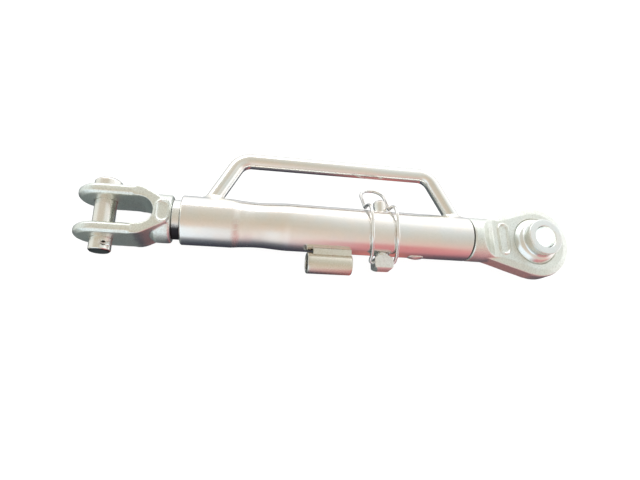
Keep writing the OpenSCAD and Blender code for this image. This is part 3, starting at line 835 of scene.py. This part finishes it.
def make_split_pin():
    """Half-round wire folded into a ring and two legs, with the legs spread in front."""
    r = 2.3
    out = np.array((math.cos(cross_turn), 0, -math.sin(cross_turn)))
    side = np.cross(cross_dir, out)
    arc = np.linspace(np.pi, 0, 9)
    section = np.stack([r * np.cos(arc), 0.10 + 0.92 * r * np.sin(arc)], 1)
    loop_r, loop_at = 3.4, -21.6 + 2.2
    tip, leg, spread = 13.2, 27.0, 5.6
    straight = 0.62  # the share of a leg that isn't bent
    pts = []
    for t in np.linspace(0, 1, 12):  # one leg from its bent tip back to the ring
        flare = max(0.0, 1 - t - straight) / (1 - straight)
        pts.append((tip - leg * t - 0.9 * flare, spread * flare ** 1.5))
    pts += [(-14.6, 0.15), (-15.6, 0.5), (-17.0, 1.5)]
    for a in np.linspace(0.42 * np.pi, 1.0 * np.pi, 9):
        pts.append((loop_at + loop_r * 1.25 * math.cos(a), loop_r * math.sin(a)))
    half = np.array(pts)
    both = np.vstack([half, (half * (1, -1))[::-1][1:]])
    path = cross_at + both[:, 0:1] * cross_dir + both[:, 1:2] * out
    n = len(path)
    rings = []
    for i in range(n):
        tangent = unit(path[min(i + 1, n - 1)] - path[max(i - 1, 0)])
        outward = unit(np.cross(tangent, side))
        rings.append(path[i] + section[:, 0:1] * side * 0.98 - section[:, 1:2] * outward)
    m = len(section)
    faces = grid_faces(n, m) + [tuple(range(m)), tuple((n - 1) * m + j for j in range(m))]
    return to_object("cotter", np.vstack(rings), faces, 45)


place(make_split_pin(), wire_zinc, "fork_pin", "zinc_wire", "split_pin")

# ---- ball eye ------------------------------------------------------------------------------

eye_lo = span("eye_forging")[0]
eye_face = 11.8
filler = [bar("z", (0, 0, 0), -eye_face, eye_face, ball_r + 1.5, 96)]
eye = forged("eye_forging_skin", "eye_forging", filler, voxel=0.62, rounds=9)
lumpy(eye, 0.14, 12.0, 21)
lumpy(eye, 0.05, 2.8, 22)
shape(eye, lambda p, n: bead(p, n, tube_x1 + 45.5, 12.0, 5.9, 0.9, 0.8, eye_face))
# the socket's cutter: a ball between two cones that break the edges of its mouths
socket_r = ball_r + BORE_GAP
lip = math.sqrt(socket_r ** 2 - eye_face ** 2)
cone = [(eye_face - 0.9, lip + 0.55), (eye_face + 6, lip + 7.2), (eye_face + 6, 0)]
socket = [(-z, r) for z, r in reversed(cone)]
reach = math.asin((eye_face - 1.2) / socket_r)
for a in np.linspace(-reach, reach, 25):
    socket.append((socket_r * math.sin(a), socket_r * math.cos(a)))
socket += cone
shank_end = span("eye_shank")[1][0]
shank_bore = 13.04
carve(eye, [turned("cutter", socket, "z", parts=144),
            bar("x", (0, 0, 0), eye_lo[0] - 2, shank_end, shank_bore)])
soften(eye, 42)
place(eye, forging_zinc, "eye_bar", "zinc_forging", "eye_forging")

hub_r = 21.0
bore_r = 12.85
hub_z = ball_hi[2]
seat_r = hub_r + 3.4
seat_z = math.sqrt(ball_r ** 2 - seat_r ** 2)
bevel = 0.5
# outline points (z, radius, rounding) of the hub's face, its skin and the hollow that runs into the ball
ball_top = [(hub_z, bore_r + bevel, 0.3), (hub_z, hub_r, 0.9), (seat_z + 1.9, hub_r - 0.4, 3.2)]
profile = list(ball_top)
seat = math.asin(seat_z / ball_r)
for a in np.linspace(seat, -seat, 29):
    profile.append((ball_r * math.sin(a), ball_r * math.cos(a), 0))
profile += [(-z, r, e) for z, r, e in reversed(ball_top)]
profile += [(-hub_z + bevel, bore_r, 0.3), (hub_z - bevel, bore_r, 0.3)]
ball = turned("eye_ball", thin_out(rounded(profile), 3.0), "z", parts=128)
place(ball, ball_zinc, "ball", "zinc_ball", "ball")

# ---- lock pin ------------------------------------------------------------------------------

head_lo, head_hi = span("lock_pin_head")
tang_r = 5.0  # the shank's thin end inside the head
shank_outline = to_axis([
    (lock_lo[1], 0, 0), (lock_lo[1], tang_r, 0.2), (head_hi[1], tang_r, 0), (head_hi[1], lock_r, 0.3),
    (lock_hi[1] - 2.2, lock_r, 1.0), (lock_hi[1], lock_r - 2.0, 0.8), (lock_hi[1], 0, 0)], lock_hi[1])
shank = turned("cross_pin", shank_outline, "y", (lock_x, 0, 0), 80)
place(shank, turned_zinc, "lock_pin", "zinc_turned", "lock_pin_shank")

wire_r = 1.8
pivot_y = -34.0
pivot_filler = bar("x", (0, pivot_y, 0), head_lo[0] + 0.3, head_hi[0] - 0.3, wire_r + 0.6, 32)
head = forged("cross_pin_head", "lock_pin_head", [pivot_filler], voxel=0.32, rounds=12)
lumpy(head, 0.05, 2.4, 31)
pivot_bore = wire_r + BORE_GAP
carve(head, [bore_cutter("x", (0, pivot_y, 0), head_lo[0] + 0.1, head_hi[0] - 0.1, pivot_bore, 0.35)])
soften(head, 42)
place(head, head_zinc, "lock_pin", "zinc_forging", "lock_pin_head")

bow_half, lean = 14.2, 4.2
stand = tube_r + wire_r + 0.7
shoulder_y, crown_y = 29, 60.0


def bow(s):
    """Corner points of one side of the spring bow, from its pivot in the head to the crown."""
    foot, x = lock_x + s * bow_half, lock_x + s * bow_half - lean
    return [(lock_x + s * 3, pivot_y, 0), (foot, pivot_y, 0), (foot, pivot_y + 6.4, 9.2), (x, -14.4, stand),
            (x, shoulder_y, stand), (x, shoulder_y, 2), (x, crown_y, -20)]


bends = [0, 3.2, 4, 15, 20, 3.5, 13.9]
wire_path = path_of(bow(-1) + bow(1)[::-1], bends + bends[::-1], 1.0)
wire = swept("spring_bow", wire_path, circle(wire_r, 20))
place(wire, wire_zinc, "wire", "zinc_wire", "lock_wire")

# ---- CAD nodes that keep their shape -------------------------------------------------------

for node in ("threaded_bush", "guide_bush", "spindle_stop", "eye_shank"):
    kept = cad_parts[node]
    kept.data.materials.clear()
    kept.data.materials.append(bare_steel)

# ---- floor, light and camera ---------------------------------------------------------------


def glowing(name, colour, strength):
    """A material that only shines."""
    mat, g = new_material(name)
    g.surface(g.add("Emission", {"Color": (*colour, 1), "Strength": strength}))
    return mat


half_room = 6.0  # metres, as is floor_at
floor_at = floor_z * MM - 0.0001
floor_mesh = bpy.data.meshes.new("floor")
corners = [(x * half_room, y * half_room, floor_at) for x, y in ((-1, -1), (1, -1), (1, 1), (-1, 1))]
floor_mesh.from_pydata(corners, [], [(0, 1, 2, 3)])
floor = linked("floor", floor_mesh)
floor_mat, fg = new_material("pale_floor")
fat = fg.add("TexCoord").outputs["Object"]
floor_colour = fg.mix(fg.noise(fat, 300.0, 2.0), (0.13, 0.13, 0.13), (0.15, 0.15, 0.15))
fg.surface(fg.add("BsdfPrincipled", {"Base Color": floor_colour, "Roughness": 0.9, "Specular IOR Level": 0.0,
                                     "Emission Color": (1, 1, 1, 1), "Emission Strength": 0.93}))
floor_mesh.materials.append(floor_mat)
floor.visible_glossy = False

# a white backdrop all round, which only the camera sees
dome_mesh = bpy.data.meshes.new("backdrop")
bm = bmesh.new()
bmesh.ops.create_uvsphere(bm, u_segments=48, v_segments=24, radius=0.95 * half_room)
bm.to_mesh(dome_mesh)
bm.free()
dome = linked("backdrop", dome_mesh)
dome_mesh.materials.append(glowing("white_backdrop", (1, 1, 1), 1.0))
dome.visible_glossy = dome.visible_diffuse = dome.visible_shadow = dome.visible_transmission = False

# a glowing disc on the floor under the ball's bore: a painted pool of light where the bore looks down
spot_z0, spot_z1, spot_r = floor_z + 0.05, floor_z + 0.15, 12.6
spot = turned("bore_glow_disc", [(spot_z0, 0), (spot_z0, spot_r), (spot_z1, spot_r), (spot_z1, 0)], "z")
paint(spot, glowing("bore_light_glow", (0.90, 0.97, 1.0), 2.6))

world = bpy.data.worlds.new("studio")
bpy.context.scene.world = world
world.use_nodes = True
w = Graph(world.node_tree)
way = w.add("SeparateXYZ", {"Vector": w.add("TexCoord").outputs["Generated"]})
dx, dy, dz = way.outputs[0], way.outputs[1], way.outputs[2]  # the direction's three parts
# angle of the direction in the plane across the barrel: 0 is up, +90 towards the handle, -90 to the front
roll = w.maths("MULTIPLY", w.maths("ARCTAN2", dy, dz), 180 / math.pi)
place_on = w.line(roll, -180, 180)


def room(stops):
    """A colour ramp round the barrel from (roll, colour) stops."""
    node = w.add("ValToRGB", {"Fac": place_on})
    ramp = node.color_ramp
    while len(ramp.elements) > 1:
        ramp.elements.remove(ramp.elements[-1])
    ramp.elements[0].position, ramp.elements[0].color = 0.0, (*stops[0][1], 1)
    for angle, colour in stops[1:]:
        ramp.elements.new((angle + 180) / 360).color = (*colour, 1)
    return node.outputs[0]


behind = [(106, (1.3, 1.3, 1.3)), (124, (0.85, 0.86, 0.88)), (142, (0.42, 0.46, 0.48)),
          (160, (0.12, 0.14, 0.15)), (180, (0.06, 0.07, 0.08))]
clevis_side = room([
    (-180, (0.06, 0.07, 0.08)), (-155, (0.05, 0.05, 0.07)), (-135, (0.08, 0.09, 0.11)),
    (-117, (0.16, 0.17, 0.20)), (-104, (0.44, 0.44, 0.46)), (-91, (0.76, 0.72, 0.71)),
    (-74, (0.90, 0.84, 0.81)), (-51, (0.87, 0.80, 0.74)), (-33, (0.82, 0.70, 0.60)),
    (-12, (0.70, 0.61, 0.50)), (15, (0.67, 0.63, 0.54)), (44, (0.76, 0.74, 0.68)),
    (60, (0.97, 0.96, 0.93)), (76, (1.35, 1.35, 1.35))] + behind)
eye_side = room([
    (-180, (0.06, 0.06, 0.08)), (-148, (0.10, 0.09, 0.11)), (-130, (0.20, 0.12, 0.15)),
    (-113, (0.46, 0.22, 0.25)), (-98, (0.74, 0.33, 0.35)), (-84, (0.80, 0.41, 0.39)),
    (-64, (0.82, 0.58, 0.52)), (-42, (0.73, 0.64, 0.56)), (-20, (0.71, 0.69, 0.64)),
    (0, (0.75, 0.77, 0.73)), (18, (0.86, 0.88, 0.87)), (32, (1.02, 1.04, 1.02)),
    (48, (1.35, 1.35, 1.35))] + behind)


def patch(before, colour, *edges):
    """Blends a colour into the world where every (value, from, to) ramp is up."""
    mask = 1.0
    for value, lo, hi in edges:
        mask = w.maths("MULTIPLY", w.ramp(value, lo, hi), mask)
    return w.mix(mask, before, colour)


sky = w.mix(w.ramp(dx, 0.04, 0.42), clevis_side, eye_side)
# pale walls beyond both ends of the barrel
sky = patch(sky, (1.3, 1.3, 1.32), (dx, 0.74, 0.84), (dy, -0.6, -0.1))
sky = patch(sky, (0.92, 0.95, 0.92), (dx, -0.72, -0.92), (dy, -0.5, 0.1))
# a cold light low in front of the clevis end
sky = patch(sky, (1.06, 1.17, 1.24), (dx, 0.02, -0.14), (roll, -110, -92), (roll, -34, -58))
# something warm red stands low in front of the middle, seen from below too
sky = patch(sky, (0.70, 0.27, 0.28), (dx, 0.12, 0.34), (dx, 0.52, 0.38), (roll, -126, -108), (roll, -62, -84))
sky = patch(sky, (0.62, 0.22, 0.20), (dx, 0.22, 0.29), (dx, 0.42, 0.35), (roll, -114, -124))
# grey green light under the clevis
sky = patch(sky, (0.40, 0.43, 0.40), (dx, -0.12, -0.2), (roll, -96, -112), (roll, -152, -140))
sky = patch(sky, (0.16, 0.19, 0.19), (dx, -0.12, -0.2), (dz, -0.62, -0.8), (dy, 0.0, -0.1))
back = w.add("Background", {"Color": sky, "Strength": 1.0})
w.add("OutputWorld", {"Surface": back.outputs[0]})


middle = ((cad_bounds[0] + cad_bounds[1]) / 2) / MM
window = bpy.data.lights.new("window_back", "AREA")
window.shape, window.size, window.size_y = "RECTANGLE", 2000 * MM, 320 * MM
window.energy = 5.0
window_at, aim = Vector((middle.x - 60, 1100, 420)) * MM, Vector(middle) * MM
facing = (aim - window_at).to_track_quat("-Z", "Y").to_matrix().to_4x4()
linked("window_back", window).matrix_world = Matrix.Translation(window_at) @ facing
sun = bpy.data.lights.new("overhead", "SUN")
sun.energy, sun.angle = 2.2, math.radians(24)
overhead = linked("overhead", sun)
overhead.rotation_euler = (math.radians(-4), math.radians(3), 0)
overhead.visible_glossy = False

# the camera's fitted lens, directions and place
lens = bpy.data.cameras.new("camera")
lens.sensor_width, lens.lens = 36.0, 25.185
lens.clip_start, lens.clip_end = 0.01, 50.0
camera = linked("camera", lens)
right = Vector((0.97895181, 0.00256179, 0.20407545))
down = Vector((0.06227836, -0.9559792, -0.28674933))
view_way = Vector((0.1943573, 0.29342326, -0.93601711))
turn = Matrix((right, -down, -view_way)).transposed().to_4x4()
camera_at = Vector((-354.5, -155.6, 458.05))
camera.matrix_world = Matrix.Translation(camera_at * MM) @ turn
bpy.context.scene.camera = camera
bpy.context.scene.view_settings.view_transform = "Standard"
